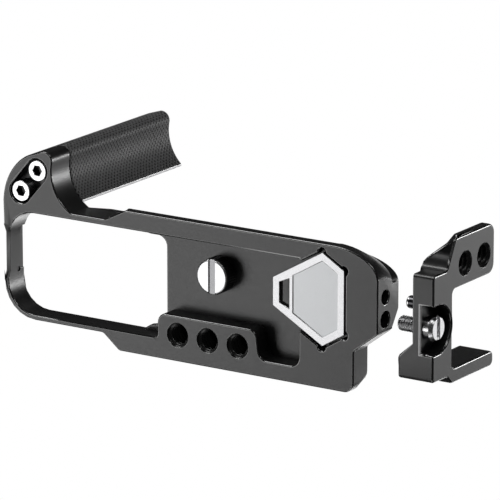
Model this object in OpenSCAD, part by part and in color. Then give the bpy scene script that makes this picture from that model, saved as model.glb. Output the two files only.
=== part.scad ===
// Camera L-bracket with a hand grip: a base plate held under the camera by a captive screw,
// a grip screwed to its end lobe, a key stowed in its underside, and a side bracket that
// slides onto the other end.
// Every piece is drawn as seen from underneath: x towards the side bracket, y towards the
// camera's front, z towards the ground, with zero at the camera screw axis and the underside
// rim. The module as_used turns them over, so that the camera seat is at height zero.

/* [Base plate] */
// Camera screw axis to the grip end of the plate
grip_end = 64.5; // [62:0.5:75]
// Camera screw axis to the bracket end of the plate
bracket_end = 49.8; // [48:0.2:60]
// Camera seat to underside rim
plate_t = 7; // [6.6:0.1:8]
// Width across the clamp flanges
dovetail_w = 37.6; // [37.2:0.2:44]
// Camera screw axis to the front flange
front_edge = 13.8; // [13.4:0.1:14.8]
// Thickness of the clamp flanges at their edge
flange_t = 3; // [2.4:0.1:3.6]
// How far the clamp flanges are undercut, at 45 degrees
flange_undercut = 2.4; // [1.6:0.1:2.6]
// Depth of the underside recess
recess_depth = 5; // [4.7:0.1:5.2]
// Height of the front lip and end wall above the camera seat
lip_h = 3.2; // [2:0.1:4]
// Thickness of the front lip
lip_t = 1.65; // [1.2:0.05:1.8]
// Thickness of the end wall
end_wall_t = 2.6; // [2:0.1:3.4]

/* [Battery window] */
// Camera screw axis to the near side of the window
window_near = 16.7; // [16.4:0.1:18]
// Camera screw axis to the front side of the window
window_front = 8.95; // [8.6:0.05:9.2]
// Camera screw axis to the rear side of the window
window_rear = 18.4; // [17.8:0.1:19]
// Thickness of the bar round the window
frame_wall = 1.3; // [1:0.1:2]
// Outer radius of the rear corner of that bar
frame_corner_r = 9.5; // [6:0.5:12]

/* [Threads and pins] */
// Thread size of the camera screw and of the accessory holes
tripod_thread_d = 6.35; // [6:0.05:6.5]
// Distance between neighbouring accessory holes
hole_pitch = 9.1; // [8.8:0.1:9.5]
// Camera screw axis to the row of accessory holes
hole_row_y = 16.75; // [16.4:0.05:17]
// Side screw thread size
side_thread_d = 4; // [3.6:0.1:4.4]
// Guide pin diameter
guide_pin_d = 3.3; // [3:0.1:3.8]
// Guide pin axis to side screw axis
pin_pitch = 5.8; // [5.6:0.1:6.4]

/* [Grip] */
// Length of the grip above its root
grip_len = 46.2; // [30:0.1:60]
// Height of the metal root, measured from the underside rim
root_h = 8.4; // [8.2:0.1:9.4]
// Thickness of the rubber skin
skin_t = 0.9; // [0.6:0.1:1.4]
// Grip screw thread size
grip_thread_d = 3; // [2.5:0.1:3.2]
// Distance between the grip screws
grip_screw_pitch = 8; // [7.2:0.1:8.6]

/* [Camera screw] */
// Diameter of its head
camera_head_d = 9.1; // [8.4:0.1:10]
// Height of its head
camera_head_h = 4.4; // [3.6:0.1:4.5]
// Thread standing above the camera seat
camera_stud_h = 4.8; // [4:0.1:5.5]

/* [Stowed key] */
// Thickness of the key
key_t = 1.8; // [1.4:0.1:2]
// Length of the key, from its narrow end to its straight end
key_len = 21.2; // [20:0.2:22]
// Width of the key across its two side corners
key_w = 24.4; // [23:0.2:24.8]
// Clearance round the key in its pocket
key_gap = 0.45; // [0.3:0.05:0.6]

/* [Side bracket] */
// Gap between the side bracket and the plate, pulled out as it is shown
side_gap = 10; // [8:0.5:14]
// Thickness of the spine
spine_t = 6.1; // [5.6:0.1:7]
// Depth of the spine above the underside rim
spine_depth = 9.3; // [9:0.1:10]
// Thickness of the thin part of the arm
arm_t = 2.9; // [2.2:0.1:3.4]
// Reach of the arm and foot above the underside rim
arm_reach = 29.5; // [28.5:0.5:40]
// Web left behind the screw pocket
web_t = 2.3; // [1.9:0.1:2.8]

/* [Hidden] */

$fn = 64;
// overrun of a cut past the face that it opens
over = 0.6;
// steps of a rounded corner and of a long curve
corner_steps = 6;
curve_steps = 14;
// most of a side that one rounded corner may use
corner_room_share = 0.49;

// fits
thread_gap = 0.05;
pass_gap = 0.15;
pin_gap = 0.08;
clip_gap = 0.05;
bond_gap = 0.02;

// rear side of the plate, from the window's frame to the notched end
rear_edge = dovetail_w - front_edge;
frame_rear = window_rear + frame_wall;
lobe_bulge = 0.2;
frame_left = grip_end - lobe_bulge;
window_left = frame_left - frame_wall;
waist_run = 16.6;
waist_x = window_near + waist_run;
waist_r = 2;
shoulder_run = 5;
shoulder_r = 1.5;
end_step = 7;
tail_x = bracket_end - end_step;
tail_side = 11.1;
tail_r = 3;
tail_room = 8;
step_y = rear_edge - tail_side;
step_rise = 5.3;
step_r = 1;
end_low_y = step_y - step_rise;
end_r = 1.5;

// front side of the plate, from the rounded end to the grip's root
seat_front = front_edge - flange_undercut;
seat_rear = rear_edge - flange_undercut;
rail_front = window_front + lip_t;
rim_corner = [13.8, 7.5];
end_flat_front = 4.3;
end_flat_rear = 2.5;
seat_corner_rx = 15.8;
seat_corner_c = [bracket_end - seat_corner_rx, end_flat_front];
front_shoulder_run = 9.5;
front_waist_run = 6.4;
front_shoulder_x = window_near + front_shoulder_run;
front_waist_x = front_shoulder_x + front_waist_run;
front_shoulder_r = 1.2;
lobe_foot_y = 5;
lobe_foot_r = 3;

// lobe that carries the grip: a hollow fingertip side, a round nose and an oval back
lobe = [13.1, 14.8];
lobe_c = [lobe.x - grip_end, rail_front];
nose_r = 2.4;
nose_lead = 0.15;
nose_rise = 0.5;
nose_turn = 100;
back_turn = 108;
nose_c = lobe_c + [nose_lead, lobe.y + nose_rise - nose_r];
flank_r = 11.8;
flank_lead = 10.5;
flank_c = nose_c + (flank_r + nose_r) * along(-flank_lead);
flank_foot_r = 1;
lip_foot_run = 0.5;
lip_ramp_run = 5.3;
grip_back_rise = 0.8;
lip_edge = 0.8;
grip_back_y = rail_front + grip_back_rise;
skin_foot_y = grip_back_y + lip_edge;

// underside recess and the block with the accessory holes
block_wall = 0.4;
block_left = window_near - block_wall;
block_top = 11.7;
block_r = 2.5;
block_right = 13.8;
block_foot_run = 0.8;
block_foot = block_right + block_foot_run;
recess_rear = 19.35;
recess_r = 2.6;
recess_run = 23.2;
recess_right = bracket_end - recess_run;
recess_inner_r = 1.2;
window_front_r = 8;
window_near_r = 2.7;
ledge_tip = 7.4;
ledge_mid = [5.2, 1.4];
ledge_rise = 2.4;
ledge_r = 1.2;
front_ledge = 1.75;
front_ledge_run = 5.5;
hole_offset_x = 0.9;

// underside of the bar at the grip end, and the strap notch inside it
bar_relief = 1;
bar_relief_front = 2.6;
bar_relief_rear = 7.7;
bar_ramp = 2.2;
bar_groove = 0.3;
bar_groove_h = 1.5;
bar_groove_front = 3.5;
strap_notch_d = 1.4;
strap_notch_y = 8.1;
strap_notch_z = 4.6;

// grip screws
screw_mid_share = [-0.375, 0.458];
grip_screw_mid = lobe_c + [screw_mid_share.x * lobe.x, screw_mid_share.y * lobe.y];
grip_screw_turn = 49;
grip_head_d = 5.5;
grip_head_h = 3;
grip_head_sink = 0.3;
grip_pocket_gap = 0.45;
grip_thread_len = 7;
grip_socket_d = 2.9;
grip_socket_depth = 1.5;

// camera screw
camera_slot_w = 1.9;
camera_slot_depth = 1.6;
clip_h = 0.5;
clip_play = 0.4;
clip_w = 1.65;
clip_groove = 0.75;
clip_mouth_share = 0.5;
clip_seat_gap = 0.3;
thread_tip = 0.5;
head_bevel = 0.3;

// stowed key
key_run = 31.2;
key_x = bracket_end - key_run;
key_mid_y = 0.7;
key_sink = 0.3;
key_waist_share = 0.695;
key_end_share = 0.34;
key_tip_share = 0.152;
key_border = 2;
key_field_depth = 0.25;
key_window = [2.9, 5.3, 7.8];
key_field_x = 6;
key_relief_r = 1.1;
magnet_d = 4;
magnet_h = 1.2;
magnet_pitch = 11.8;
magnet_x_share = 0.61;

// side bracket
mate_x = bracket_end + side_gap;
outer_x = mate_x + spine_t;
side_axis_z = 3.7;
pin_y = 1.6;
side_screw_y = pin_y - pin_pitch;
pin_stand = 3.4;
pin_seat = 1.9;
pin_hole_depth = 5;
pin_tip = 0.5;
spine_front = 10.1;
spine_rear = 17.4;
spine_r = 1;
arm_front = 17.6;
arm_rear = 4.65;
arm_r = 2.6;
riser_start = 6.5;
riser_end = 10.5;
riser_r = 1.5;
taper_start = 8.4;
taper_end = 10.8;
cheek = 1.5;
cheek_rear = 8.4;
cheek_start = 3.4;
cheek_full = 6.3;
cheek_end = 7.3;
pad_t = 4.7;
pad_front = 14.4;
pad_start = taper_start + (taper_end - taper_start) * (spine_t - pad_t) / (spine_t - arm_t);
arm_cut_turn = [0, 69.5, 119.8];
arm_cut_from = [-5, -1, 0];
arm_cut_size = [11, 10, 5];
foot_front = 15.75;
foot_rear = 19.6;
foot_r = 1.4;
foot_left = 3.3;
toe = 4;
toe_top = 8;
toe_low = 11.5;
toe_r = 1;
pocket_r = 6.2;
pocket_back_wall = 0.5;
pocket_lift = 0.1;
pocket_y = side_screw_y + pocket_lift;
arm_hole_y = 10.2;
arm_hole_reach = 5.25;
side_head_d = 6.9;
side_face_d = 5.8;
side_collar_d = 5.7;
side_head_t = 1.1;
side_head_h = 3.1;
side_slot_w = 1.3;
side_slot_depth = 1.5;
side_stand = 5.6;
side_hole_depth = 7.5;
side_clip_h = 0.4;
side_clip_w = 1.6;
side_clip_groove = 0.5;

// unit vector at an angle
function along(turn) = [cos(turn), sin(turn)];
// points along an oval arc round a centre, from one angle to another
function arc(c, r, from, to, steps, first = 0) =
    [for (i = [first:steps]) let (t = from + (to - from) * i / steps)
        [c.x + r.x * cos(t), c.y + r.y * sin(t)]];
function unit(v) = v / norm(v);
// one corner b of an outline, rounded to radius r as far as its sides leave room
function corner(a, b, c, r) =
    let (u = unit(a - b),
        v = unit(c - b),
        half = acos(max(-1, min(1, u * v))) / 2,
        reach = min(r / tan(half), corner_room_share * min(norm(a - b), norm(c - b))),
        fit = reach * tan(half),
        o = b + unit(u + v) * fit / sin(half),
        s = b + u * reach - o,
        e = b + v * reach - o,
        start = atan2(s.y, s.x),
        turn = atan2(cross(s, e), s * e))
    [for (i = [0:corner_steps]) o + fit * along(start + turn * i / corner_steps)];
// outline of points [x, y, radius]; a point without a radius stays sharp
function rounded(points) =
    [for (i = [0:len(points) - 1])
        let (n = len(points),
            a = points[(i + n - 1) % n],
            b = points[i],
            c = points[(i + 1) % n])
        each len(b) < 3 ? [b] : corner([a.x, a.y], [b.x, b.y], [c.x, c.y], b[2])];

// lobe from its flank, at height y, round the nose to its back, drawn in by inset
function lobe_side(inset, y, back) = concat(
    arc(flank_c, (flank_r + inset) * [1, 1], flank_turn(inset, y), 180 - flank_lead, curve_steps),
    arc(nose_c, (nose_r - inset) * [1, 1], -flank_lead, nose_turn, corner_steps, 1),
    arc(lobe_c, lobe - inset * [1, 1], back_turn, back, curve_steps));
function flank_turn(inset, y) = 180 + asin((flank_c.y - y) / (flank_r + inset));
// where the flank stands at height y
function flank_x(y) = flank_c.x + flank_r * cos(flank_turn(0, y));

// quarter oval of the bracket end, from the end face to the front
function end_corner(c, front) =
    arc(c, [bracket_end - c.x, front - c.y], 0, 90, curve_steps);

rim_corner_c = [bracket_end, front_edge] - rim_corner;
lip_ramp_x = flank_x(rail_front) + lip_foot_run;

rim_outline = rounded(concat([
    [-frame_left, -frame_rear, frame_corner_r],
    [-waist_x, -frame_rear, waist_r],
    [shoulder_run - waist_x, -rear_edge, shoulder_r],
    [tail_x, -rear_edge, tail_r],
    [tail_x, -step_y, step_r],
    [bracket_end, -end_low_y, end_r]],
    end_corner(rim_corner_c, front_edge), [
    [-front_shoulder_x, front_edge, front_shoulder_r],
    [-front_waist_x, rail_front, waist_r],
    [flank_x(rail_front), rail_front, flank_foot_r]],
    grip_side(0), [
    [-frame_left, lobe_foot_y, lobe_foot_r]]));

// recess and window as they open at the rim
recess_outline = rounded([
    [-window_left, -window_rear, frame_corner_r - frame_wall],
    [-block_left, -window_rear, recess_inner_r],
    [-block_left, -block_top, block_r],
    [block_right, -block_top, block_r],
    [block_foot, -recess_rear, recess_r],
    [recess_right, -recess_rear, recess_r],
    [recess_right, window_front],
    [-window_left, window_front, window_front_r]]);

// window as it goes through the floor, with a ledge at each near corner
window_outline = rounded([
    [-window_left, -window_rear, frame_corner_r - frame_wall],
    [-window_near - ledge_tip, -window_rear],
    [-window_near - ledge_mid.x, ledge_mid.y - window_rear, ledge_r],
    [-window_near, ledge_rise - window_rear, ledge_r],
    [-window_near, window_front - front_ledge, window_near_r],
    [-window_near - front_ledge_run, window_front - front_ledge, ledge_r],
    [-window_near - front_ledge_run - front_ledge, window_front, ledge_r],
    [-window_left, window_front, window_front_r]]);

// key, drawn from its narrow end, about its middle line
key_outline = [
    [key_x, -key_tip_share * key_w - key_mid_y],
    [key_x + key_waist_share * key_len, -key_w / 2 - key_mid_y],
    [key_x + key_len, -key_end_share * key_w - key_mid_y],
    [key_x + key_len, key_end_share * key_w - key_mid_y],
    [key_x + key_waist_share * key_len, key_w / 2 - key_mid_y],
    [key_x, key_tip_share * key_w - key_mid_y]];

// outline moved inwards by d, for points given anticlockwise
function inset(points, d) =
    [for (i = [0:len(points) - 1])
        let (n = len(points),
            u = unit(points[i] - points[(i + n - 1) % n]),
            v = unit(points[(i + 1) % n] - points[i]),
            m = [-u.y, u.x],
            k = [-v.y, v.x])
        points[i] + (m + k) * d / (1 + m * k)];

// sections of the grip: the skin, and the core inside it, whose lip at the foot stays bare
function grip_side(inset) = lobe_side(inset, skin_foot_y,
    180 - asin(grip_back_rise / (lobe.y - inset)));
grip_foot = [
    [flank_x(skin_foot_y), grip_back_y],
    [flank_x(skin_foot_y), skin_foot_y]];
grip_core_outline = concat(grip_foot, grip_side(skin_t));
grip_skin_outline = concat(grip_side(0), reverse(grip_side(skin_t)));
function reverse(list) = [for (i = [1:len(list)]) list[len(list) - i]];

// spine, arm and foot as seen from the end, y and z
bracket_profile = rounded([
    [-spine_rear, 0, spine_r],
    [spine_front, 0, spine_r],
    [spine_front, -riser_start, riser_r],
    [arm_front, -riser_end, riser_r],
    [arm_front, -arm_reach, arm_r],
    [arm_rear, -arm_reach, arm_r],
    [arm_rear, -spine_depth, riser_r],
    [-foot_front, -spine_depth, riser_r],
    [-foot_front, -arm_reach, foot_r],
    [-foot_rear, -arm_reach, foot_r],
    [-foot_rear, -spine_depth, foot_r],
    [-spine_rear, foot_rear - spine_rear - spine_depth, spine_r]]);

// extrusions along the plate and across it, of outlines in y, z and in x, z
module along_x(from, to)
    translate([from, 0, 0]) rotate([90, 0, 90]) linear_extrude(to - from) children();
module along_y(from, to)
    translate([0, to, 0]) rotate([90, 0, 0]) linear_extrude(to - from) children();
// slab of an outline between two depths below the rim
module slab(top, bottom)
    translate([0, 0, -bottom]) linear_extrude(bottom - top) children();
// round bar along x
module bar_x(from, to, r)
    translate([from, 0, 0]) rotate([0, 90, 0]) cylinder(to - from, r, r);
// turned piece along x, its outline given in radius and length
module turned_x(outline)
    rotate([0, 90, 0]) rotate_extrude() polygon(outline);

module at_side_screw() translate([0, side_screw_y, -side_axis_z]) children();
module at_guide_pin() translate([0, pin_y, -side_axis_z]) children();
module at_grip_screw(side)
    translate(grip_screw_mid + side * grip_screw_pitch / 2 * along(grip_screw_turn))
        children();
module at_magnet(side)
    translate([key_x + magnet_x_share * key_len, side * magnet_pitch / 2 - key_mid_y])
        children();

// clamp flanges: cut back at 45 degrees above their edge, straight along both sides
module flange_cut(edge)
    polygon([
        [edge + over, -flange_t],
        [edge, -flange_t],
        [edge - flange_undercut, -flange_t - flange_undercut],
        [edge - flange_undercut, -plate_t - over],
        [edge + over, -plate_t - over]]);
module front_flange_cut()
    along_x(-front_waist_x, rim_corner_c.x) flange_cut(front_edge);
module rear_flange_cut()
    mirror([0, 1, 0]) along_x(-waist_x, tail_x + over) flange_cut(rear_edge);

// round end: everything above the flange follows the seat's own quarter oval
module end_corner_slab(c, front, top, bottom)
    slab(top, bottom)
        polygon(concat([[rim_corner_c.x - over, 0], [bracket_end, 0]],
            end_corner(c, front),
            [[rim_corner_c.x - over, front]]));
module end_flange_cut()
    difference() {
        slab(flange_t, plate_t + over)
            translate([rim_corner_c.x, end_flat_front])
                square([bracket_end + over - rim_corner_c.x,
                    front_edge + over - end_flat_front]);
        hull() {
            end_corner_slab(rim_corner_c, front_edge, flange_t - bond_gap, flange_t);
            end_corner_slab(seat_corner_c, seat_front, flange_t + flange_undercut,
                plate_t + 2 * over);
        }
    }

// rear corner of the notched end, rounded on both levels
module tail_corner_slab(edge, top, bottom)
    slab(top, bottom)
        polygon(rounded([
            [tail_x - tail_room - over, -edge],
            [tail_x, -edge, tail_r],
            [tail_x, tail_room - rear_edge],
            [tail_x - tail_room - over, tail_room - rear_edge]]));
module tail_flange_cut()
    difference() {
        slab(flange_t, plate_t + over)
            translate([tail_x - tail_room, -rear_edge - over])
                square([tail_room + over, tail_room]);
        hull() {
            tail_corner_slab(rear_edge, flange_t - bond_gap, flange_t);
            tail_corner_slab(seat_rear, flange_t + flange_undercut, plate_t + 2 * over);
        }
    }

// front lip and end wall, which keep the camera from turning on its screw
module front_lip()
    difference() {
        slab(plate_t - bond_gap, plate_t + lip_h)
            difference() {
                polygon(concat([
                    [flank_x(skin_foot_y), window_front],
                    [seat_corner_c.x, window_front],
                    [bracket_end - end_wall_t, end_flat_front],
                    [bracket_end - end_wall_t, -end_low_y],
                    [bracket_end, -end_low_y]],
                    end_corner(seat_corner_c, rail_front),
                    [[flank_x(skin_foot_y), rail_front]]));
                polygon(concat(
                    [seat_corner_c],
                    arc(seat_corner_c,
                        [seat_corner_rx - end_wall_t, window_front - end_flat_front],
                        0, 90, curve_steps)));
            }
        lip_ramp();
    }

// the lip rises in a ramp from the root of the grip
module lip_ramp()
    along_y(window_front - over, rail_front + over)
        polygon([
            [flank_x(skin_foot_y) - over, -plate_t - lip_h - over],
            [lip_ramp_x + lip_ramp_run, -plate_t - lip_h - over],
            [lip_ramp_x + lip_ramp_run, -plate_t - lip_h],
            [lip_ramp_x, -root_h],
            [flank_x(skin_foot_y) - over, -root_h]]);
module end_wall_slope()
    along_x(bracket_end - end_wall_t - over, bracket_end + over)
        polygon([
            [-end_flat_rear, -plate_t - lip_h - over],
            [-end_flat_rear, -plate_t - lip_h],
            [-end_low_y, -plate_t],
            [-end_low_y - over, -plate_t],
            [-end_low_y - over, -plate_t - lip_h - over]]);

// root of the grip, behind the front lip
module grip_root()
    slab(plate_t - bond_gap, root_h)
        polygon(rounded(concat([
            grip_foot.x,
            [flank_x(skin_foot_y), window_front],
            [flank_x(rail_front) + flank_foot_r, window_front],
            [flank_x(rail_front) + flank_foot_r, rail_front],
            [flank_x(rail_front), rail_front, flank_foot_r]],
            grip_side(0))));

module key_pocket() {
    depth = key_sink + key_t + thread_gap;
    corners = inset(key_outline, -key_gap);
    slab(-over, depth) polygon(corners);
    for (i = [1:4])
        translate(key_outline[i])
            slab(-over, depth) circle(key_relief_r);
}

module tapped_holes()
    for (i = [-1:1])
        translate([i * hole_pitch - hole_offset_x, -hole_row_y])
            slab(-over, plate_t + over) circle(tripod_thread_d / 2);

module camera_screw_hole() {
    slab(recess_depth - over, plate_t + over) circle(tripod_thread_d / 2 + pass_gap);
    slab(plate_t - clip_h - clip_play, plate_t + over)
        circle(tripod_thread_d / 2 - clip_groove + clip_w + clip_seat_gap);
}

module grip_screw_pocket() {
    r = grip_head_d / 2 + grip_pocket_gap;
    floor_z = grip_head_sink + grip_head_h;
    slab(-over, floor_z) {
        for (side = [-1, 1])
            at_grip_screw(side) circle(r);
        translate(grip_screw_mid)
            rotate(grip_screw_turn)
                square([grip_screw_pitch, 2 * (r - bond_gap)], center = true);
    }
    for (side = [-1, 1])
        at_grip_screw(side)
            slab(floor_z - over, root_h + over) circle(grip_thread_d / 2 + pass_gap);
}

module frame_bar_relief()
    along_x(-grip_end - over, -window_left + over)
        polygon([
            [bar_relief_front + bar_ramp + over, over],
            [bar_relief_front + bar_ramp, 0],
            [bar_relief_front, -bar_relief],
            [-bar_relief_rear, -bar_relief],
            [-bar_relief_rear - bar_ramp, 0],
            [-bar_relief_rear - bar_ramp - over, over]]);

// step along the top of the bar's inner wall, with a small strap notch at its end
module frame_bar_groove() {
    translate([-window_left - bar_groove, -strap_notch_y, -plate_t - over])
        cube([bar_groove + over, strap_notch_y + bar_groove_front, bar_groove_h + over]);
    translate([0, -strap_notch_y, -strap_notch_z])
        bar_x(-window_left - bar_groove, -window_left + over, strap_notch_d / 2);
}

module base_plate()
    color("#2b2c2e")
        difference() {
            union() {
                difference() {
                    slab(0, plate_t) polygon(rim_outline);
                    front_flange_cut();
                    rear_flange_cut();
                    end_flange_cut();
                    tail_flange_cut();
                }
                front_lip();
                grip_root();
            }
            end_wall_slope();
            slab(-over, recess_depth) polygon(recess_outline);
            slab(-over, plate_t + over) polygon(window_outline);
            key_pocket();
            tapped_holes();
            camera_screw_hole();
            grip_screw_pocket();
            frame_bar_relief();
            frame_bar_groove();
            for (side = [-1, 1])
                at_magnet(side)
                    slab(0, key_sink + key_t + thread_gap + magnet_h)
                        circle(magnet_d / 2 + bond_gap);
            at_guide_pin()
                bar_x(bracket_end - pin_hole_depth, bracket_end + over,
                    guide_pin_d / 2 + pin_gap);
            at_side_screw()
                bar_x(bracket_end - side_hole_depth, bracket_end + over,
                    side_thread_d / 2 + thread_gap);
        }

module grip_core()
    color("#3a3c3f")
        difference() {
            slab(root_h, root_h + grip_len) polygon(grip_core_outline);
            for (side = [-1, 1])
                at_grip_screw(side)
                    slab(root_h - over, root_h + grip_thread_len)
                        circle(grip_thread_d / 2 + bond_gap);
        }

module grip_skin()
    color("#1d1d1e")
        slab(root_h, root_h + grip_len) polygon(grip_skin_outline);

module grip_screw(side)
    color("#c9cacb")
        at_grip_screw(side) {
            tip = root_h + grip_thread_len - over;
            under_head = grip_head_sink + grip_head_h;
            difference() {
                union() {
                    slab(grip_head_sink, under_head) circle(grip_head_d / 2);
                    slab(under_head - bond_gap, tip) circle(grip_thread_d / 2);
                }
                slab(grip_head_sink - over, grip_head_sink + grip_socket_depth)
                    circle(grip_socket_d / 2, $fn = 6);
            }
        }
module grip_screw_front() grip_screw(1);
module grip_screw_rear() grip_screw(-1);

// slotted screw with a groove for its clip, drawn along z with the head's face downwards;
// head is the outline of its head, from the middle of the face to the underside
module slotted_screw(head, neck_h, groove_r, groove_h, thread_r, stand, slot) {
    under_head = head[len(head) - 1].y;
    groove_top = under_head + neck_h + groove_h;
    reach = max([for (p = head) p.x]) + over;
    difference() {
        rotate_extrude()
            polygon(concat(head, [
                [thread_r, under_head],
                [thread_r, under_head + neck_h],
                [groove_r, under_head + neck_h],
                [groove_r, groove_top],
                [thread_r, groove_top],
                [thread_r, groove_top + stand - thread_tip],
                [thread_r - thread_tip, groove_top + stand],
                [0, groove_top + stand]]));
        translate([-slot.x / 2, -reach, -over])
            cube([slot.x, 2 * reach, slot.y + over]);
    }
}

// open ring that sits in the groove of a captive screw
module clip(inner_r, outer_r, height)
    difference() {
        cylinder(height, outer_r, outer_r);
        translate([0, 0, -over]) cylinder(height + 2 * over, inner_r, inner_r);
        translate([-clip_mouth_share * inner_r, 0, -over])
            cube([2 * clip_mouth_share * inner_r, outer_r + over, height + 2 * over]);
    }

camera_groove_r = tripod_thread_d / 2 - clip_groove;
module camera_screw()
    color("#b9babc")
        translate([0, 0, camera_head_h - recess_depth])
            mirror([0, 0, 1])
                slotted_screw([
                    [0, 0],
                    [camera_head_d / 2 - head_bevel, 0],
                    [camera_head_d / 2, head_bevel],
                    [camera_head_d / 2, camera_head_h]],
                    plate_t - recess_depth - clip_h - clip_gap,
                    camera_groove_r, clip_h + 2 * clip_gap,
                    tripod_thread_d / 2, camera_stud_h - clip_gap,
                    [camera_slot_w, camera_slot_depth]);

module camera_screw_clip()
    color("#8f9193")
        translate([0, 0, -plate_t])
            clip(camera_groove_r + clip_gap, camera_groove_r + clip_w, clip_h);

module key()
    color("#d6d7d9")
        difference() {
            slab(key_sink, key_sink + key_t) polygon(key_outline);
            slab(key_sink - over, key_sink + key_field_depth)
                intersection() {
                    polygon(inset(key_outline, key_border));
                    translate([key_x + key_field_x, -key_w]) square([key_len, 2 * key_w]);
                }
            slab(key_sink - over, key_sink + key_t + over)
                polygon([
                    [key_x + key_border, -key_window.y / 2 - key_mid_y],
                    [key_x + key_border + key_window.x, -key_window.z / 2 - key_mid_y],
                    [key_x + key_border + key_window.x, key_window.z / 2 - key_mid_y],
                    [key_x + key_border, key_window.y / 2 - key_mid_y]]);
        }

module key_magnet(side)
    color("#9a9b9d")
        at_magnet(side)
            slab(key_sink + key_t + 2 * thread_gap, key_sink + key_t + thread_gap + magnet_h)
                circle(magnet_d / 2);
module key_magnet_front() key_magnet(1);
module key_magnet_rear() key_magnet(-1);

// spine and arm in plan: full thickness at the front, thin along the arm
module bracket_plan()
    polygon([
        [mate_x, 0],
        [outer_x, 0],
        [outer_x, -arm_reach - over],
        [outer_x - arm_t, -arm_reach - over],
        [outer_x - arm_t, -taper_end],
        [mate_x, -taper_start]]);
// thicker pad behind the holes of the arm
module bracket_pad()
    polygon([
        [mate_x, -taper_start],
        [outer_x, -taper_start],
        [outer_x, -arm_reach - over],
        [outer_x - pad_t, -arm_reach - over],
        [outer_x - pad_t, -pad_start]]);
// cheek at the front of the spine, which reaches in beside the plate's round end
module bracket_cheek()
    polygon([
        [mate_x + over, -cheek_start],
        [mate_x, -cheek_start],
        [mate_x - cheek, -cheek_full],
        [mate_x - cheek, -cheek_end],
        [mate_x, -taper_start],
        [mate_x + over, -taper_start]]);
// lower end of the spine, which steps out under the plate's notched end
module bracket_toe()
    polygon(rounded([
        [outer_x, -toe_top],
        [mate_x, -toe_top],
        [mate_x - toe, -toe_low, toe_r],
        [mate_x - toe, -foot_rear, toe_r],
        [outer_x, -foot_rear]]));

module side_screw_pocket() {
    centre_z = spine_depth - pocket_back_wall - pocket_r;
    translate([0, pocket_y, -centre_z])
        bar_x(mate_x + web_t, outer_x + over, pocket_r);
    translate([mate_x + web_t, pocket_y - pocket_r, -centre_z])
        cube([spine_t - web_t + over, 2 * pocket_r, centre_z + over]);
}

// slanted cut over the inner corner of the arm, down from the outer end of its slope
module arm_corner_cut()
    translate([outer_x, arm_front, -riser_end])
        rotate(arm_cut_turn)
            translate(arm_cut_from)
                cube(arm_cut_size);

module side_bracket()
    color("#2f3032")
        difference() {
            intersection() {
                along_x(mate_x - toe - over, outer_x) polygon(bracket_profile);
                union() {
                    along_y(-toe_low - over, arm_front + over) bracket_plan();
                    along_y(arm_rear - over, pad_front) bracket_pad();
                    along_y(cheek_rear, arm_front + over) bracket_cheek();
                    slab(0, spine_depth) bracket_toe();
                    slab(spine_depth - bond_gap, arm_reach)
                        translate([mate_x - foot_left, -foot_rear - over])
                            square([spine_t + foot_left, foot_rear - foot_front + 2 * over]);
                }
            }
            arm_corner_cut();
            side_screw_pocket();
            at_side_screw() {
                bar_x(mate_x - over, outer_x, side_thread_d / 2 + pass_gap);
                bar_x(mate_x - over, mate_x + side_clip_h + clip_play + clip_gap,
                    side_groove_r + side_clip_w + clip_seat_gap);
            }
            at_guide_pin()
                bar_x(mate_x - over, mate_x + pin_seat, guide_pin_d / 2);
            for (i = [0, 1])
                translate([0, arm_hole_y, arm_hole_reach + i * hole_pitch - arm_reach])
                    bar_x(outer_x - spine_t, outer_x + over, tripod_thread_d / 2);
        }

module guide_pin()
    color("#3c3d3f")
        at_guide_pin()
            translate([mate_x, 0, 0])
                turned_x([
                    [0, -pin_stand],
                    [guide_pin_d / 2 - pin_tip, -pin_stand],
                    [guide_pin_d / 2, pin_tip - pin_stand],
                    [guide_pin_d / 2, pin_seat],
                    [0, pin_seat]]);

side_groove_r = side_thread_d / 2 - side_clip_groove;
module side_screw()
    color("#c4c5c7")
        at_side_screw()
            translate([mate_x + web_t + side_head_h, 0, 0])
                rotate([0, -90, 0])
                    slotted_screw([
                        [0, 0],
                        [side_face_d / 2, 0],
                        [side_head_d / 2, side_head_t],
                        [side_collar_d / 2, side_head_t],
                        [side_collar_d / 2, side_head_h]],
                        web_t - side_clip_h - 2 * clip_gap,
                        side_groove_r, side_clip_h + 2 * clip_gap,
                        side_thread_d / 2, side_stand,
                        [side_slot_w, side_slot_depth]);

module side_screw_clip()
    color("#8f9193")
        at_side_screw()
            translate([mate_x + clip_gap, 0, 0])
                rotate([0, 90, 0])
                    clip(side_groove_r + clip_gap, side_groove_r + side_clip_w, side_clip_h);

// turns a piece over and sets the camera seat at height zero
module as_used() translate([0, 0, -plate_t]) rotate([180, 0, 0]) children();

as_used() base_plate();
as_used() grip_core();
as_used() grip_skin();
as_used() grip_screw_front();
as_used() grip_screw_rear();
as_used() camera_screw();
as_used() camera_screw_clip();
as_used() key();
as_used() key_magnet_front();
as_used() key_magnet_rear();
as_used() side_bracket();
as_used() guide_pin();
as_used() side_screw();
as_used() side_screw_clip();
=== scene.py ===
"""Finishes the camera l-bracket: chamfered metal, threaded screws, dotted grip skin and satin key.

Shapes are drawn as in the part's source: in millimetres and seen from underneath, x along the plate
towards the side bracket, y towards the front of the camera, z towards the ground, with the rim of the
underside at zero. as_used() turns them over into the shared frame, in metres. Angles are in degrees.
"""

import bmesh
import bpy
import numpy as np
from mathutils import Matrix, Vector


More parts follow.
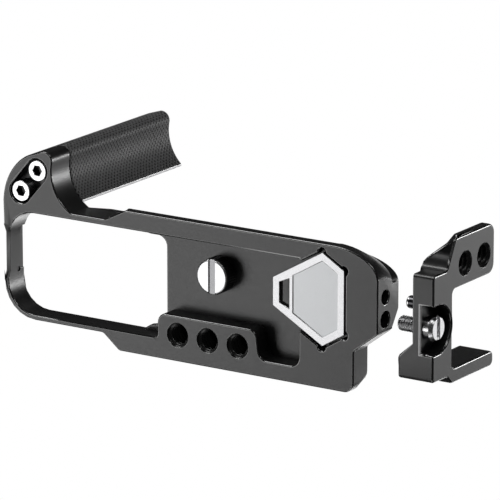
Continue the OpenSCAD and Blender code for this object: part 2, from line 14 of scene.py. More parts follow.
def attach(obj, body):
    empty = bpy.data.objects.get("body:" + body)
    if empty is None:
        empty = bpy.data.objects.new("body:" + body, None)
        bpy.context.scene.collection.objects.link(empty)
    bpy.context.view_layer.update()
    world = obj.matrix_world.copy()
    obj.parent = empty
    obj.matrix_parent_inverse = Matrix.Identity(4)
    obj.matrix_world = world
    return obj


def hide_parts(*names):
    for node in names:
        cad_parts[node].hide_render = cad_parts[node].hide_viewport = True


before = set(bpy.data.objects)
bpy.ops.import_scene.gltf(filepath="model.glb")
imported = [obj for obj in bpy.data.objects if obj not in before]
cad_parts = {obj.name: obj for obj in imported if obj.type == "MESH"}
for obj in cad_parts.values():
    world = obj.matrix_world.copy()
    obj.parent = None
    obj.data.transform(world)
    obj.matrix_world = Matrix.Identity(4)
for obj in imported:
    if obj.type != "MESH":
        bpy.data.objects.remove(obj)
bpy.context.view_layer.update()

TURN = 2 * np.pi
TURN_OVER = np.array([1, -1, -1])
PLATE_T = 7.0

# Shapes; the merge distances act on meshes and are in metres

NODE_MERGE, PIECE_MERGE, CUT_MERGE = 3.5e-5, 2e-6, 1e-7
SHARP_BEND, FLAT_BEND = 32, 0.1
CHAMFER_STEPS = 2
THREAD_COLUMNS, THREAD_ROWS = 48, 12
THREAD_SLOPE, THREAD_CREST = 2.6, 0.15
THREAD_SHARP, KNURL_SHARP, SKIN_SHARP = 50, 25, 50
# Thread faces deeper than this share of the depth go near-black: painted shade in the roots.
PAINTED_ROOT_SHADE_FROM = 0.8
TIP_BEVEL = 0.5
MOUTH_SHARE, SLEEVE_WALL = 0.6, 0.12
KNURL_BEVEL, KNURL_STEPS = 0.16, 4


def as_used(points):
    """Points drawn in mm from underneath, turned over about x and put down by the plate's thickness."""
    return (np.asarray(points, float) * TURN_OVER - [0, 0, PLATE_T]) / 1000


def as_drawn(point):
    """A point of the shared frame, turned back to how it is drawn, in mm."""
    return np.array(point) * 1000 * TURN_OVER - [0, 0, PLATE_T]


def grid_faces(rows, columns):
    """Quads between the rows and columns of a grid, whose last column is joined to the first."""
    i, j = np.mgrid[0:rows - 1, 0:columns]
    k = (j + 1) % columns
    return np.stack([i * columns + j, i * columns + k, (i + 1) * columns + k, (i + 1) * columns + j],
                    axis=-1).reshape(-1, 4)


def place(name, mesh):
    """A new object in the scene with this mesh, at the origin."""
    piece = bpy.data.objects.new(name, mesh)
    bpy.context.scene.collection.objects.link(piece)
    return piece


def shade(mesh, sharp):
    """Merges the doubles of a closed shell, turns its faces outwards and keeps edges crisp past an angle."""
    work = bmesh.new()
    work.from_mesh(mesh)
    bmesh.ops.remove_doubles(work, verts=work.verts, dist=PIECE_MERGE)
    bmesh.ops.recalc_face_normals(work, faces=work.faces)
    for face in work.faces:
        face.smooth = True
    for ridge in work.edges:
        ridge.smooth = bool(ridge.calc_face_angle(0) < np.radians(sharp))
    work.to_mesh(mesh)
    work.free()


def shell(name, grid, sharp, finishes, wrap_rows=False, dark=None):
    """A closed surface over a grid of points drawn in mm, shape (rows, columns, 3).

    Its first and last rows are closed by a flat face unless wrap_rows joins them to each other. dark, a
    value of each point, gives the second of its finishes to the faces where it passes
    PAINTED_ROOT_SHADE_FROM: painted shade in the roots of a thread.
    """
    if wrap_rows:
        grid = np.concatenate([grid, grid[:1]])
    rows, columns = grid.shape[:2]
    quads = grid_faces(rows, columns)
    faces = quads.tolist()
    if not wrap_rows:
        faces.append(list(range(columns))[::-1])
        faces.append(list(range((rows - 1) * columns, rows * columns)))
    mesh = bpy.data.meshes.new(name)
    mesh.from_pydata(as_used(grid.reshape(-1, 3)).tolist(), [], faces)
    for material in finishes:
        mesh.materials.append(material)
    if dark is not None:
        second = np.zeros(len(faces), np.int32)
        # Painted shade: faces deep in a thread's roots take the second, near-black finish.
        second[:len(quads)] = dark.ravel()[quads].mean(axis=1) > PAINTED_ROOT_SHADE_FROM
        mesh.polygons.foreach_set("material_index", second)
    shade(mesh, sharp)
    return place(name, mesh)


def round_grid(along, radius, columns, centre, axis):
    """Points of a turned shape: at each place along an axis, radius times the cosine and sine of a full turn.

    radius is an array (rows,) or (rows, columns).
    """
    turn = np.arange(columns) * TURN / columns
    radius = np.broadcast_to(np.reshape(radius, (len(along), -1)), (len(along), columns))
    a, b = radius * np.cos(turn), radius * np.sin(turn)
    run = np.broadcast_to(np.reshape(along, (-1, 1)), radius.shape)
    order = {"x": (run, a, b), "z": (a, b, run)}[axis]
    return np.stack(order, axis=-1) + centre


def thread_places(start, end, pitch):
    """Evenly spaced places from start to end, with at least THREAD_ROWS in each pitch."""
    return np.linspace(start, end, int(np.ceil(abs(end - start) / pitch * THREAD_ROWS)) + 1)


def thread_wave(along, pitch):
    """Depth, 0 at the crests and 1 in the roots, of a saw of (place / pitch - turn), both flattened."""
    wave = (along[:, None] / pitch - np.arange(THREAD_COLUMNS) / THREAD_COLUMNS) % 1
    return np.clip(THREAD_SLOPE * np.abs(wave - 0.5) - THREAD_CREST, 0, 1)


def threaded_bar(name, span, outer, depth, pitch, centre, axis, finishes):
    """A threaded bar from the start of its span to its tip: its radius falls from outer by depth times
    thread_wave, and by the distance past the place where the tip's 45 degree bevel starts. Its roots take
    the second finish, a near-black one: painted shade in the roots.
    """
    along = thread_places(*span, pitch)
    wave = thread_wave(along, pitch)
    bevel = outer - np.clip(TIP_BEVEL - np.abs(along - span[1]), 0, TIP_BEVEL)
    grid = round_grid(along, np.minimum(outer - depth * wave, bevel[:, None]), THREAD_COLUMNS, centre, axis)
    return shell(name, grid, THREAD_SHARP, finishes, dark=wave)


def tapped_sleeve(name, span, wall, depth, pitch, centre, axis, finish, bottom=None):
    """The thread cut in a hole: a tube whose outer wall is hidden in the metal round the hole.

    Its inner radius is wall less depth times one minus thread_wave, opening out to wall at both mouths.
    bottom makes it a cup, closed at its span's start by a floor whose far side is there.
    """
    start, end = span
    along = thread_places(start, end, pitch)
    mouth = np.clip(np.minimum(along - start, end - along) / (MOUTH_SHARE * depth), 0, 1)
    radius = wall - depth * mouth[:, None] * (1 - thread_wave(along, pitch))
    inner = round_grid(along, radius, THREAD_COLUMNS, centre, axis)
    far = end if bottom is None else bottom
    near = start if bottom is None else end
    outer = round_grid(np.array([far, near]), np.full(2, wall + SLEEVE_WALL), THREAD_COLUMNS, centre, axis)
    if bottom is not None:
        return shell(name, np.concatenate([outer, inner[::-1]]), THREAD_SHARP, (finish,))
    return shell(name, np.concatenate([inner, outer]), THREAD_SHARP, (finish,), wrap_rows=True)


def knurled_arc(name, low, high, inner, outer, bite, teeth, start, end, finish):
    """Part of a knurled ring round z between two angles.

    Its outer radius is outer less bite times a triangle wave with so many teeth a turn.
    """
    turn = np.radians(np.linspace(start, end, int((end - start) / 360 * teeth * KNURL_STEPS) + 1))
    reach = outer - bite * np.abs((turn / TURN * teeth) % 1 - 0.5) * 2
    root = np.full_like(reach, inner)
    loop_r = np.stack([root, reach - KNURL_BEVEL, reach, reach, reach - KNURL_BEVEL, root], axis=1)
    loop_z = np.array([low, low, low + KNURL_BEVEL, high - KNURL_BEVEL, high, high])
    points = np.stack([loop_r * np.cos(turn)[:, None], loop_r * np.sin(turn)[:, None],
                       np.broadcast_to(loop_z, loop_r.shape)], axis=-1)
    return shell(name, points, KNURL_SHARP, (finish,))


def milled(node, chamfer, finish, name, edge=None, cut=None, inside=(), share=None):
    """A copy of a CAD node's mesh: doubles merged, flat faces joined and outer edges chamfered.

    The chamfers take the finish edge. share gives the part of the full chamfer that an edge has, from its
    middle in mm and the directions of its two faces. Past a plane given by cut, a point in mm and a
    direction, all is cut away and closed. inside lists further finishes, each with a test of the face
    centres in mm that take it.
    """
    work = bmesh.new()
    work.from_mesh(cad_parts[node].data)
    bmesh.ops.remove_doubles(work, verts=work.verts, dist=NODE_MERGE)
    if cut:
        point, direction = cut
        bmesh.ops.bisect_plane(work, geom=work.verts[:] + work.edges[:] + work.faces[:], dist=CUT_MERGE,
                               plane_co=as_used(point), plane_no=direction * TURN_OVER, clear_outer=True)
        bmesh.ops.holes_fill(work, edges=[ridge for ridge in work.edges if ridge.is_boundary])
    bmesh.ops.dissolve_limit(work, angle_limit=np.radians(FLAT_BEND), verts=work.verts, edges=work.edges)
    weight = work.edges.layers.float.new("bevel_weight_edge")
    for face in work.faces:
        face.smooth = True
        for slot, (_, test) in enumerate(inside, start=2):
            if test(as_drawn(face.calc_center_median())):
                face.material_index = slot
    for ridge in work.edges:
        bend = ridge.calc_face_angle(0)
        ridge.smooth = bool(bend < np.radians(SHARP_BEND))
        if bend > np.radians(SHARP_BEND) and ridge.is_convex:
            middle = as_drawn((ridge.verts[0].co + ridge.verts[1].co) / 2)
            facing = np.array([face.normal for face in ridge.link_faces]) * TURN_OVER
            ridge[weight] = share(middle, facing) if share else 1
    mesh = bpy.data.meshes.new(name)
    work.to_mesh(mesh)
    work.free()
    for material in (finish, edge or finish, *(material for material, _ in inside)):
        mesh.materials.append(material)
    piece = place(name, mesh)
    bevel = piece.modifiers.new("chamfer", "BEVEL")
    bevel.width, bevel.segments, bevel.material = chamfer / 1000, CHAMFER_STEPS, 1
    bevel.limit_method, bevel.use_clamp_overlap = "WEIGHT", False
    bevel.miter_outer, bevel.harden_normals = "MITER_SHARP", True
    return piece


def carry(piece, body, slot, *nodes):
    """Sets a finished piece on its body and hides the CAD nodes that it stands for; slot is not used."""
    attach(piece, body)
    if nodes:
        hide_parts(*nodes)


# Materials

DOTS_ROUND, DOTS_ALONG = 1.55, 1.35


class Finish:
    """A node material: one Principled shader, with patterns worked out from Object coordinates or a map."""

    def __init__(self, name, colour, metallic, roughness, **sockets):
        self.material = bpy.data.materials.new(name)
        self.material.use_nodes = True
        self.tree = self.material.node_tree
        self.shader = self.tree.nodes["Principled BSDF"]
        self.put("Base Color", (*colour, 1))
        self.put("Metallic", metallic)
        self.put("Roughness", roughness)
        for socket, value in sockets.items():
            self.put(socket.replace("_", " "), value)
        self.where = self.node("ShaderNodeTexCoord").outputs["Object"]

    def put(self, socket, value):
        """Sets a number or colour that is the same all over the surface."""
        self.shader.inputs[socket].default_value = value

    def node(self, kind, inputs=(), **settings):
        """A new node with its settings, and its inputs linked to sockets or set to values."""
        made = self.tree.nodes.new(kind)
        for key, value in settings.items():
            setattr(made, key, value)
        for key, value in dict(inputs).items():
            if isinstance(value, bpy.types.NodeSocket):
                self.tree.links.new(value, made.inputs[key])
            else:
                made.inputs[key].default_value = value
        return made

    def math(self, operation, *values):
        """The output of a Math node."""
        return self.node("ShaderNodeMath", enumerate(values), operation=operation).outputs[0]

    def noise(self, size, detail, packed=(1, 1, 1)):
        """Soft random pattern with spots about size mm across, divided along each axis by packed."""
        at = self.node("ShaderNodeMapping", {"Vector": self.where, "Scale": packed}).outputs[0]
        return self.node("ShaderNodeTexNoise", {"Vector": at, "Scale": 1000 / size, "Detail": detail,
                                                "Roughness": 0.55}).outputs["Fac"]

    def between(self, pattern, low, high, start=0.3, end=0.7):
        """Values from low to high, held past them, as the pattern goes from start to end."""
        return self.node("ShaderNodeMapRange", {"Value": pattern, "From Min": start, "From Max": end,
                                                "To Min": low, "To Max": high}).outputs[0]

    def mix(self, pattern, dark, light):
        """Colours from dark to light as the pattern goes from 0 to 1."""
        ends = {"A_Color": (*dark, 1), "B_Color": (*light, 1)}
        mixed = self.node("ShaderNodeMix", {0: pattern}, data_type="RGBA")
        for socket in mixed.inputs:
            if socket.identifier in ends:
                socket.default_value = ends[socket.identifier]
        return next(socket for socket in mixed.outputs if socket.identifier == "Result_Color")

    def feed(self, socket, output):
        """Leads a pattern to one of the shader's sockets."""
        self.tree.links.new(output, self.shader.inputs[socket])

    def relief(self, height, strength, distance):
        """Bump of a height pattern, with its distance in mm."""
        inputs = {"Height": height, "Strength": strength, "Distance": distance / 1000}
        self.feed("Normal", self.node("ShaderNodeBump", inputs).outputs[0])


def anodised_black():
    """Bead-blasted black anodising: fine grain in tone, gloss and relief, with faint broad clouds."""
    finish = Finish("anodised_black", colour=(0.01, 0.01, 0.01), metallic=0.0, roughness=0.34,
                    Specular_IOR_Level=0.85)
    cloud, grain = finish.noise(size=11, detail=3), finish.noise(size=0.3, detail=2)
    tone = finish.math("MULTIPLY", finish.between(cloud, low=0.8, high=1.0),
                       finish.between(grain, low=0.5, high=1.0))
    finish.feed("Base Color", finish.mix(tone, dark=(0.003, 0.003, 0.003), light=(0.012, 0.012, 0.0125)))
    finish.feed("Roughness", finish.between(grain, low=0.28, high=0.40))
    finish.relief(grain, strength=0.35, distance=0.02)
    return finish.material


def polished_edge():
    """Cut edges, burnished through the black: a dark mirror that catches the lights, worn in fine patches."""
    finish = Finish("polished_edge", colour=(0.01, 0.01, 0.01), metallic=0.0, roughness=0.2,
                    IOR=1.8, Specular_IOR_Level=1.0)
    wear, grain = finish.noise(size=5, detail=4), finish.noise(size=0.25, detail=2)
    worn = finish.math("MULTIPLY", finish.between(wear, low=0.0, high=1.0, start=0.5, end=0.75),
                       finish.between(grain, low=0.3, high=1.0))
    finish.feed("Base Color", finish.mix(worn, dark=(0.004, 0.004, 0.004), light=(0.03, 0.03, 0.031)))
    finish.feed("Roughness", finish.between(grain, low=0.14, high=0.22))
    return finish.material


def black_gloss_and_painted_shade():
    """Dark and glossy, so only the turns' crests catch light: the tapped threads in the black plate and the
    camera screw's knurled arcs. On the steel studs' thread roots, the cap screws' sockets and the key's low
    wall it is painted shade.
    """
    finish = Finish("black_gloss_and_painted_shade", colour=(0.01, 0.01, 0.01), metallic=0.0, roughness=0.28,
                    Specular_IOR_Level=0.7)
    grain = finish.noise(size=0.2, detail=2)
    tone = finish.between(grain, low=0, high=1)
    finish.feed("Base Color", finish.mix(tone, dark=(0.006, 0.006, 0.006), light=(0.02, 0.02, 0.02)))
    finish.feed("Roughness", finish.between(grain, low=0.2, high=0.36))
    return finish.material


def dotted_rubber():
    """Rubber with sunk dots in staggered rows: a cosine round the skin times one along it, on its own map.
    The dots are painted near-black as well as sunk by the bump: painted shade in them.
    """
    finish = Finish("dotted_rubber", colour=(0.04, 0.04, 0.041), metallic=0.0, roughness=0.5,
                    Specular_IOR_Level=0.6)
    skin_map = finish.node("ShaderNodeUVMap", uv_map="skin").outputs[0]
    uv = finish.node("ShaderNodeSeparateXYZ", {"Vector": skin_map})
    rows = finish.math("COSINE", finish.math("MULTIPLY", uv.outputs[0], TURN / DOTS_ROUND))
    steps = finish.math("COSINE", finish.math("MULTIPLY", uv.outputs[1], TURN / DOTS_ALONG))
    dots = finish.between(finish.math("MULTIPLY", rows, steps), low=1.0, high=0.0, start=0.1, end=0.7)
    grain, cloud = finish.noise(size=0.3, detail=2), finish.noise(size=6, detail=3)
    tone = finish.math("MULTIPLY", finish.math("MULTIPLY", dots, finish.between(grain, low=0.75, high=1.0)),
                       finish.between(cloud, low=0.8, high=1.0))
    # Painted shade: the sunk dots go near-black in colour.
    finish.feed("Base Color", finish.mix(tone, dark=(0.001, 0.001, 0.001), light=(0.17, 0.17, 0.172)))
    finish.feed("Roughness", finish.between(grain, low=0.42, high=0.6))
    finish.relief(dots, strength=1.0, distance=0.16)
    return finish.material


def bare_metal(name, colour, roughness, packed=(1, 1, 1), size=0.2, contrast=0.14):
    """Bare metal with cutting marks, finer along an axis where packed is over 1, and faint broad clouds."""
    finish = Finish(name, colour, metallic=1.0, roughness=roughness)
    marks, cloud = finish.noise(size, detail=2, packed=packed), finish.noise(size=7, detail=3)
    tone = finish.math("MULTIPLY", finish.between(marks, low=0, high=1),
                       finish.between(cloud, low=0.7, high=1))
    finish.feed("Base Color", finish.mix(tone, dark=[(1 - contrast) * part for part in colour], light=colour))
    finish.feed("Roughness", finish.between(marks, low=roughness * 0.8, high=roughness * 1.25))
    finish.relief(marks, strength=0.25, distance=0.01)
    return finish.material


# black_and_painted_shade is painted shade where the steel studs' roots, the sockets and the key's low wall
# take it.
plate_black, edge_black, black_and_painted_shade = anodised_black(), polished_edge(), black_gloss_and_painted_shade()
skin_rubber = dotted_rubber()
bright_steel = bare_metal("bright_steel", colour=(0.93, 0.93, 0.94), roughness=0.24, packed=(1, 6, 1))
turned_steel = bare_metal("turned_steel", colour=(0.95, 0.95, 0.96), roughness=0.26, packed=(6, 1, 1))
head_steel = bare_metal("head_steel", colour=(0.76, 0.76, 0.77), roughness=0.28, packed=(1, 6, 1))
# The slot's steel is the head's steel at half the brightness: painted shade in the slot.
slot_steel_painted_shade = bare_metal("slot_steel_painted_shade", colour=(0.38, 0.38, 0.39), roughness=0.3, packed=(1, 0.15, 1),
                        size=0.35, contrast=0.35)
key_satin = bare_metal("key_satin", colour=(0.56, 0.57, 0.58), roughness=0.34, packed=(1, 5, 1))
key_rim = bare_metal("key_rim", colour=(0.61, 0.61, 0.62), roughness=0.26, packed=(1, 5, 1))
dark_steel = bare_metal("dark_steel", colour=(0.10, 0.10, 0.105), roughness=0.18, packed=(8, 1, 1))
clip_steel = bare_metal("clip_steel", colour=(0.4, 0.4, 0.41), roughness=0.3)
core_metal = bare_metal("core_metal", colour=(0.5, 0.5, 0.51), roughness=0.3, packed=(1, 1, 0.1))

# Plate and side bracket, with the threads of the tapped holes in the block and in the arm

PLATE_CHAMFER, BRACKET_CHAMFER = 0.42, 0.5
NOTCH_X, NOTCH_Y, NOTCH_SHARE = -60.5, (-10.5, 5.5), 0.12
BLOCK_HOLES, BLOCK_ROW = (-10.0, -0.9, 8.2), -16.75
BLOCK_X, BLOCK_REACH, BLOCK_SHARE = (-14, 12), 3.6, 0.5
END_X, END_SHARE = 53, 0.6
ARM_HOLES, ARM_ROW = (-15.15, -24.25), 10.2
ARM_Y, ARM_RIM, ARM_SHARE = 6, (2.5, 3.7), 0.3
POCKET_X, POCKET_Y, POCKET_Z, POCKET_SHARE = 61, (-11, 3), -0.5, 0.25
INWARD, OUTLINE_SHARE = -0.9, 0.7
QUARTER_R, QUARTER_PITCH, TAPPED_DEPTH = 3.175, 1.27, 0.72
BLOCK_THREAD, BLOCK_FLOOR = (-6.4, -0.3), -6.95
ARM_THREAD = (61.4, 65.75)


def plate_share(middle, facing):
    """The full chamfer, but little at the strap notch and less at the block's holes and the end wall.

    It goes by the edge's middle alone.
    """
    x, y, _ = middle
    if x < NOTCH_X and NOTCH_Y[0] < y < NOTCH_Y[1]:
        return NOTCH_SHARE
    if abs(y - BLOCK_ROW) < BLOCK_REACH and BLOCK_X[0] < x < BLOCK_X[1]:
        return BLOCK_SHARE
    return END_SHARE if x > END_X else 1


def bracket_share(middle, facing):
    """The full chamfer, but little round the arm's holes and the pocket, less on the side to the plate."""
    x, y, z = middle
    off_hole = np.hypot(y - ARM_ROW, min(abs(z - hole_z) for hole_z in ARM_HOLES))
    if y > ARM_Y and ARM_RIM[0] < off_hole < ARM_RIM[1]:
        return ARM_SHARE
    if z > POCKET_Z and x < POCKET_X and POCKET_Y[0] < y < POCKET_Y[1]:
        return POCKET_SHARE
    return OUTLINE_SHARE if facing[:, 0].min() < INWARD else 1


carry(milled("base_plate", PLATE_CHAMFER, plate_black, "plate", edge=edge_black, share=plate_share),
      "plate", "plate_black", "base_plate")
carry(milled("side_bracket", BRACKET_CHAMFER, plate_black, "bracket", edge=edge_black, share=bracket_share),
      "side_bracket", "plate_black", "side_bracket")
for i, hole_x in enumerate(BLOCK_HOLES):
    carry(tapped_sleeve(f"block_thread_{i}", BLOCK_THREAD, QUARTER_R, TAPPED_DEPTH, QUARTER_PITCH,
                        (hole_x, BLOCK_ROW, 0), "z", black_and_painted_shade, bottom=BLOCK_FLOOR),
          "plate", "plate_black")
for i, hole_z in enumerate(ARM_HOLES):
    carry(tapped_sleeve(f"arm_thread_{i}", ARM_THREAD, QUARTER_R, TAPPED_DEPTH, QUARTER_PITCH,
                        (0, ARM_ROW, hole_z), "x", black_and_painted_shade),
          "side_bracket", "plate_black")

# Grip: its outline, seen along its length, is a hollow flank, a round nose and an oval back

LOBE, LOBE_C = np.array([13.1, 14.8]), np.array([-51.4, 10.6])
LOBE_START = 108
NOSE_R, NOSE_C, NOSE_END = 2.4, np.array([-51.25, 23.5]), 100
FLANK_R, FLANK_LEAD = 11.8, 10.5
FLANK_AWAY = np.array([np.cos(np.radians(FLANK_LEAD)), -np.sin(np.radians(FLANK_LEAD))])
FLANK_C = NOSE_C + (FLANK_R + NOSE_R) * FLANK_AWAY
FLANK_STEPS, NOSE_STEPS, BRIDGE_STEPS, BACK_STEPS = 36, 26, 6, 44
FOOT_Y, FOOT_STRIP_X, BACK_RISE, SKIN_T = 12.2, -45.35, 0.8, 0.9
ROOT_H, GRIP_TOP = 8.4, 54.6
ROUND_IN, ROUND_UP, ROUND_LENGTH = np.array([0.4, 0.12, 0.0]), np.array([0.02, 0.1, 0.36]), 1
SKIN_RINGS = 40
CORE_CHAMFER, CAP_CHAMFER = 0.2, 0.22
CAP_MID_SHARES, CAP_AWAY, CAP_LEAD = np.array([-0.375, 0.458]), 4, 49
SOCKET_Z, SOCKET_REACH = (-1.95, -0.32), 1.5


def oval(centre, radii, start, end, steps):
    """Points of an oval arc: its centre plus its two radii times the cosine and sine of each angle."""
    turn = np.radians(np.linspace(start, end, steps))
    return centre + np.stack([radii[0] * np.cos(turn), radii[1] * np.sin(turn)], axis=1)


def grip_side(inset):
    """Outline of the grip, drawn in by inset.

    A hollow round arc runs up its flank from the foot, a round arc goes over its nose, a straight bridge
    follows, and an oval arc runs down its back, to BACK_RISE above the oval's middle.
    """
    start = 180 + np.degrees(np.arcsin((FLANK_C[1] - FOOT_Y) / (FLANK_R + inset)))
    back = 180 - np.degrees(np.arcsin(BACK_RISE / (LOBE[1] - inset)))
    flank = oval(FLANK_C, np.full(2, FLANK_R + inset), start, 180 - FLANK_LEAD, FLANK_STEPS)
    nose = oval(NOSE_C, np.full(2, NOSE_R - inset), -FLANK_LEAD, NOSE_END, NOSE_STEPS)[1:]
    rear = oval(LOBE_C, LOBE - inset, LOBE_START, back, BACK_STEPS)
    bridge = nose[-1] + (rear[0] - nose[-1]) * np.linspace(0, 1, BRIDGE_STEPS)[1:-1, None]
    return np.concatenate([flank, nose, bridge, rear])


def skin():
    """Rubber shell: the grip's outline carried along its length, its ends rounded, with an inner wall.

    Its map is the way round the outline and the height, both in mm.
    """
    insets = np.concatenate([ROUND_IN, np.zeros(SKIN_RINGS), ROUND_IN[::-1]])
    plain = np.linspace(ROOT_H + ROUND_LENGTH, GRIP_TOP - ROUND_LENGTH, SKIN_RINGS)
    depths = np.concatenate([ROOT_H + ROUND_UP, plain, GRIP_TOP - ROUND_UP[::-1]])
    inner = grip_side(SKIN_T)[::-1]
    rings = [np.concatenate([grip_side(inset), inner]) for inset in insets]
    rows = [np.column_stack([ring, np.full(len(ring), -depth)]) for ring, depth in zip(rings, depths)]
    piece = shell("grip_skin_rubber", np.array(rows), SKIN_SHARP, (skin_rubber,))
    mesh = piece.data
    outline = grip_side(0)
    run = np.concatenate([[0], np.cumsum(np.linalg.norm(np.diff(outline, axis=0), axis=1))])
    corner = np.zeros(len(mesh.loops), int)
    mesh.loops.foreach_get("vertex_index", corner)
    points = np.zeros(len(mesh.vertices) * 3)
    mesh.vertices.foreach_get("co", points)
    points = points.reshape(-1, 3) * 1000
    nearest = np.argmin(np.linalg.norm((points[:, :2] * TURN_OVER[:2])[:, None] - outline, axis=2), axis=1)
    uv = np.column_stack([run[nearest], points[:, 2]])
    mesh.uv_layers.new(name="skin").data.foreach_set("uv", uv[corner].ravel())
    return piece


def on_foot_strip(centre):
    """True for the core's faces on the bare strip along the skin's foot."""
    return centre[0] > FOOT_STRIP_X and centre[1] < FOOT_Y


def in_socket(centre):
    """True for the faces of a cap screw's hexagon socket, which are painted near-black as shade."""
    off_screw = min(np.linalg.norm(centre[:2] - at) for at in CAP_SCREWS)
    return SOCKET_Z[0] < centre[2] < SOCKET_Z[1] and off_screw < SOCKET_REACH


CAP_LINE = CAP_AWAY * np.array([np.cos(np.radians(CAP_LEAD)), np.sin(np.radians(CAP_LEAD))])
CAP_SCREWS = [LOBE_C + CAP_MID_SHARES * LOBE + side * CAP_LINE for side in (-1, 1)]

carry(skin(), "plate", "grip_rubber", "grip_skin")
carry(milled("grip_core", CORE_CHAMFER, plate_black, "grip_core_metal", edge=edge_black,
             inside=[(core_metal, on_foot_strip)]),
      "plate", "grip_metal", "grip_core")
for side in ("front", "rear"):
    # The bright steel screws' sockets take black_and_painted_shade: painted shade in the sockets.
    carry(milled(f"grip_screw_{side}", CAP_CHAMFER, bright_steel, f"grip_cap_screw_{side}",
                 inside=[(black_and_painted_shade, in_socket)]),
          "plate", "bright_steel", f"grip_screw_{side}")

# Camera screw: slotted head with two knurled arcs, and its threaded stud

HEAD_R, HEAD_FACE, HEAD_CHAMFER, RECESS = 4.55, 0.6, 0.12, 5.0
SLOT_W, SLOT_DEPTH, SLOT_SHOWN = 1.9, 1.6, 0.35
NEAR = 0.02
STUD, STUD_CUT, STUD_DEPTH = (-7.0, -11.8), -7.05, 0.6
KNURL_LOW, KNURL_HIGH = -RECESS + 0.1, -HEAD_FACE - 0.22
KNURL_INNER, KNURL_OUTER = HEAD_R - 0.25, HEAD_R + 0.16
KNURL_BITE, KNURL_TEETH = 0.15, 44


def in_camera_slot(centre):
    """True for the faces of the slot across the camera screw's head."""
    depth = -centre[2] - HEAD_FACE
    return abs(centre[0]) < SLOT_W / 2 + NEAR and NEAR < depth < SLOT_DEPTH + NEAR


# The slot's faces take slot_steel_painted_shade: painted shade.
camera_screw = milled("camera_screw", HEAD_CHAMFER, head_steel, "camera_screw_turned",
                      cut=((0, 0, STUD_CUT), (0, 0, -1)), inside=[(slot_steel_painted_shade, in_camera_slot)])
for vertex in camera_screw.data.vertices:
    if abs(as_drawn(vertex.co)[2] + HEAD_FACE + SLOT_DEPTH) < NEAR:
        vertex.co.z -= (SLOT_DEPTH - SLOT_SHOWN) / 1000
carry(camera_screw, "camera_screw", "camera_screw_steel", "camera_screw")
# The stud's thread roots are painted near-black: painted shade.
carry(threaded_bar("camera_screw_thread", STUD, QUARTER_R, STUD_DEPTH, QUARTER_PITCH, (0, 0, 0), "z",
                   (turned_steel, black_and_painted_shade)),
      "camera_screw", "camera_screw_steel")
SLOT_LEAD = np.degrees(np.arcsin(SLOT_W / 2 / HEAD_R))
for i, start in enumerate((SLOT_LEAD - 90, SLOT_LEAD + 90)):
    carry(knurled_arc(f"camera_screw_knurl_{i}", KNURL_LOW, KNURL_HIGH, KNURL_INNER, KNURL_OUTER, KNURL_BITE,
                      KNURL_TEETH, start, start + 180 - 2 * SLOT_LEAD, black_and_painted_shade),
          "camera_screw", "camera_screw_steel")

# Side screw, guide pin and the two clips

SIDE_CHAMFER, PIN_CHAMFER, CLIP_CHAMFER = 0.14, 0.3, 0.06
SIDE_STUD, SIDE_CUT, SIDE_AT = (59.9, 54.25), 59.75, (0, -4.2, -3.7)
SIDE_R, SIDE_DEPTH, SIDE_PITCH = 2.0, 0.4, 0.7

carry(milled("side_screw", SIDE_CHAMFER, bright_steel, "side_screw_turned",
             cut=((SIDE_CUT, 0, 0), (-1, 0, 0))),
      "side_screw", "bright_steel", "side_screw")
# The stud's thread roots are painted near-black: painted shade.
carry(threaded_bar("side_screw_thread", SIDE_STUD, SIDE_R, SIDE_DEPTH, SIDE_PITCH, SIDE_AT, "x",
                   (turned_steel, black_and_painted_shade)),
      "side_screw", "bright_steel")
carry(milled("guide_pin", PIN_CHAMFER, dark_steel, "guide_pin_turned", edge=turned_steel),
      "side_bracket", "pin_steel", "guide_pin")
for name in ("camera_screw_clip", "side_screw_clip"):
    carry(milled(name, CLIP_CHAMFER, clip_steel, f"{name}_ring"), name, "clip_steel", name)

# Key, with a field a little below its border, and its two magnets

KEY_CHAMFER = 0.18
BORDER_Z, STEP_Z = (-0.32, -0.28), (-0.53, -0.32)
FIELD_X, FIELD_MID_Y, FIELD_HALF = (19.5, 39.3), -0.7, 11


def on_key_border(centre):
    """True for the flat border round the key's field."""
    return BORDER_Z[0] < centre[2] < BORDER_Z[1]


def on_key_step(centre):
    """True for the low wall round the key's field, which is painted near-black as shade."""
    x, y, z = centre
    return STEP_Z[0] < z < STEP_Z[1] and abs(y - FIELD_MID_Y) < FIELD_HALF and FIELD_X[0] < x < FIELD_X[1]


# The key's low wall takes black_and_painted_shade: painted shade along the step.
carry(milled("key", KEY_CHAMFER, key_satin, "key_plate", edge=key_rim,
             inside=[(key_rim, on_key_border), (black_and_painted_shade, on_key_step)]),
      "key", "key_silver", "key")
for side in ("front", "rear"):
    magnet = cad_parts[f"key_magnet_{side}"].data
    magnet.materials.clear()
    magnet.materials.append(clip_steel)

# Camera, floor and light, in metres

EYE, EYE_RIGHT, EYE_UP = (0.66136, -0.33029, -1.00451), (0.838, 0, 0.5455), (-0.142, -0.9655, 0.2185)
LENS, SENSOR, NEAR_CLIP, FAR_CLIP = 353.1, 36, 0.05, 200
FLOOR_Z, FLOOR_REACH, FLOOR_GLOW = -1.6, 40, 0.75
BACKDROP_SEEN, BACKDROP_GIVEN = 1.0, 0.03
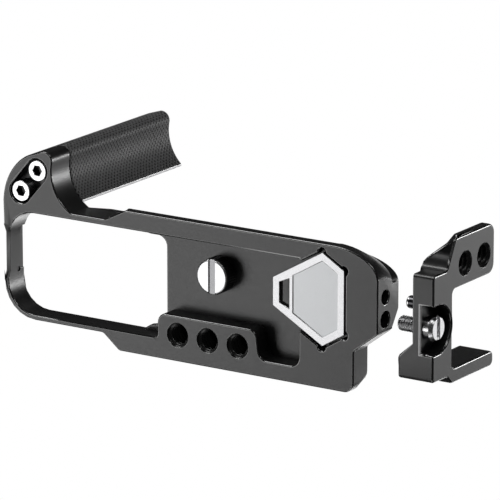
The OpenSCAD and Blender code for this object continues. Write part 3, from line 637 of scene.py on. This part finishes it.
# Each softbox has its place, width, height and radiance
SOFTBOXES = {
    "under": ((-0.53, 0.18, -0.54), 0.4, 0.6, 1.9),
    "front_low": ((-0.79, -1.21, -0.39), 0.9, 0.6, 5),
    "front_corner": ((0.77, -1.16, -0.34), 0.5, 0.4, 4),
    "over_end": ((0.80, 0.42, 1.21), 0.6, 0.5, 0.85),
    "over_flank": ((0.88, 0.03, 1.21), 0.3, 0.3, 14),
    "over_all": ((-0.2, 0.4, 2.2), 1.8, 1.6, 1.2),
    "rear_high": ((-0.3, 1.5, 1.5), 1.1, 0.9, 3),
    "front_high": ((-0.5, -1.8, 0.9), 1.1, 0.9, 0.5),
    "grip_end": ((-1.6, 0.5, 0.6), 0.6, 0.6, 0.4),
    "rear_low": ((0.0, 1.15, -0.95), 1.0, 0.8, 1.2),
}


def photo_camera():
    """The photograph's camera, fitted to the plate's edges: below the part, with a long lens 1.25 m away."""
    data = bpy.data.cameras.new("photo_camera")
    data.sensor_fit, data.sensor_width, data.lens = "HORIZONTAL", SENSOR, LENS
    data.clip_start, data.clip_end = NEAR_CLIP, FAR_CLIP
    right = Vector(EYE_RIGHT).normalized()
    back = right.cross(Vector(EYE_UP)).normalized()
    camera = bpy.data.objects.new("photo_camera", data)
    turned = Matrix((right, back.cross(right), back)).transposed()
    camera.matrix_world = Matrix.Translation(EYE) @ turned.to_4x4()
    bpy.context.scene.collection.objects.link(camera)
    bpy.context.scene.camera = camera


def pale_floor():
    """A wide pale floor, far enough below to leave the photograph's low camera above it.

    It glows a little, and it is seen without lighting the part or showing in its metal.
    """
    mesh = bpy.data.meshes.new("floor")
    signs = ((-1, -1), (1, -1), (1, 1), (-1, 1))
    mesh.from_pydata([(x * FLOOR_REACH, y * FLOOR_REACH, FLOOR_Z) for x, y in signs], [], [(0, 1, 2, 3)])
    paint = Finish("floor_paint", colour=(0.7, 0.7, 0.7), metallic=0.0, roughness=0.8)
    clouds = paint.noise(size=60, detail=3)
    paint.feed("Base Color", paint.mix(clouds, dark=(0.66, 0.66, 0.66), light=(0.74, 0.74, 0.74)))
    paint.put("Emission Color", (1, 1, 1, 1))
    paint.put("Emission Strength", FLOOR_GLOW)
    mesh.materials.append(paint.material)
    floor = place("floor", mesh)
    floor.visible_glossy = floor.visible_diffuse = False


def softbox(name, at, width, tall, radiance):
    """A rectangular light of a given radiance, which faces the part and doesn't show itself."""
    light = bpy.data.lights.new(name, "AREA")
    light.shape, light.size, light.size_y = "RECTANGLE", width, tall
    light.energy = radiance * np.pi * width * tall
    lamp = bpy.data.objects.new(name, light)
    lamp.matrix_world = Matrix.Translation(at) @ Vector(at).to_track_quat("Z", "Y").to_matrix().to_4x4()
    lamp.visible_camera = False
    bpy.context.scene.collection.objects.link(lamp)


def studio_world():
    """A white backdrop, which gives the part less light than it shows to the camera."""
    world = bpy.data.worlds.new("studio")
    world.use_nodes = True
    tree = world.node_tree
    seen, given = tree.nodes["Background"], tree.nodes.new("ShaderNodeBackground")
    for light, strength in ((seen, BACKDROP_SEEN), (given, BACKDROP_GIVEN)):
        light.inputs["Color"].default_value = (1, 1, 1, 1)
        light.inputs["Strength"].default_value = strength
    mix, ray = tree.nodes.new("ShaderNodeMixShader"), tree.nodes.new("ShaderNodeLightPath")
    tree.links.new(ray.outputs["Is Camera Ray"], mix.inputs[0])
    tree.links.new(given.outputs[0], mix.inputs[1])
    tree.links.new(seen.outputs[0], mix.inputs[2])
    tree.links.new(mix.outputs[0], tree.nodes["World Output"].inputs[0])
    bpy.context.scene.world = world


photo_camera()
pale_floor()
studio_world()
for name, (at, width, tall, radiance) in SOFTBOXES.items():
    softbox(name, at, width, tall, radiance)
bpy.context.scene.view_settings.view_transform = "Standard"
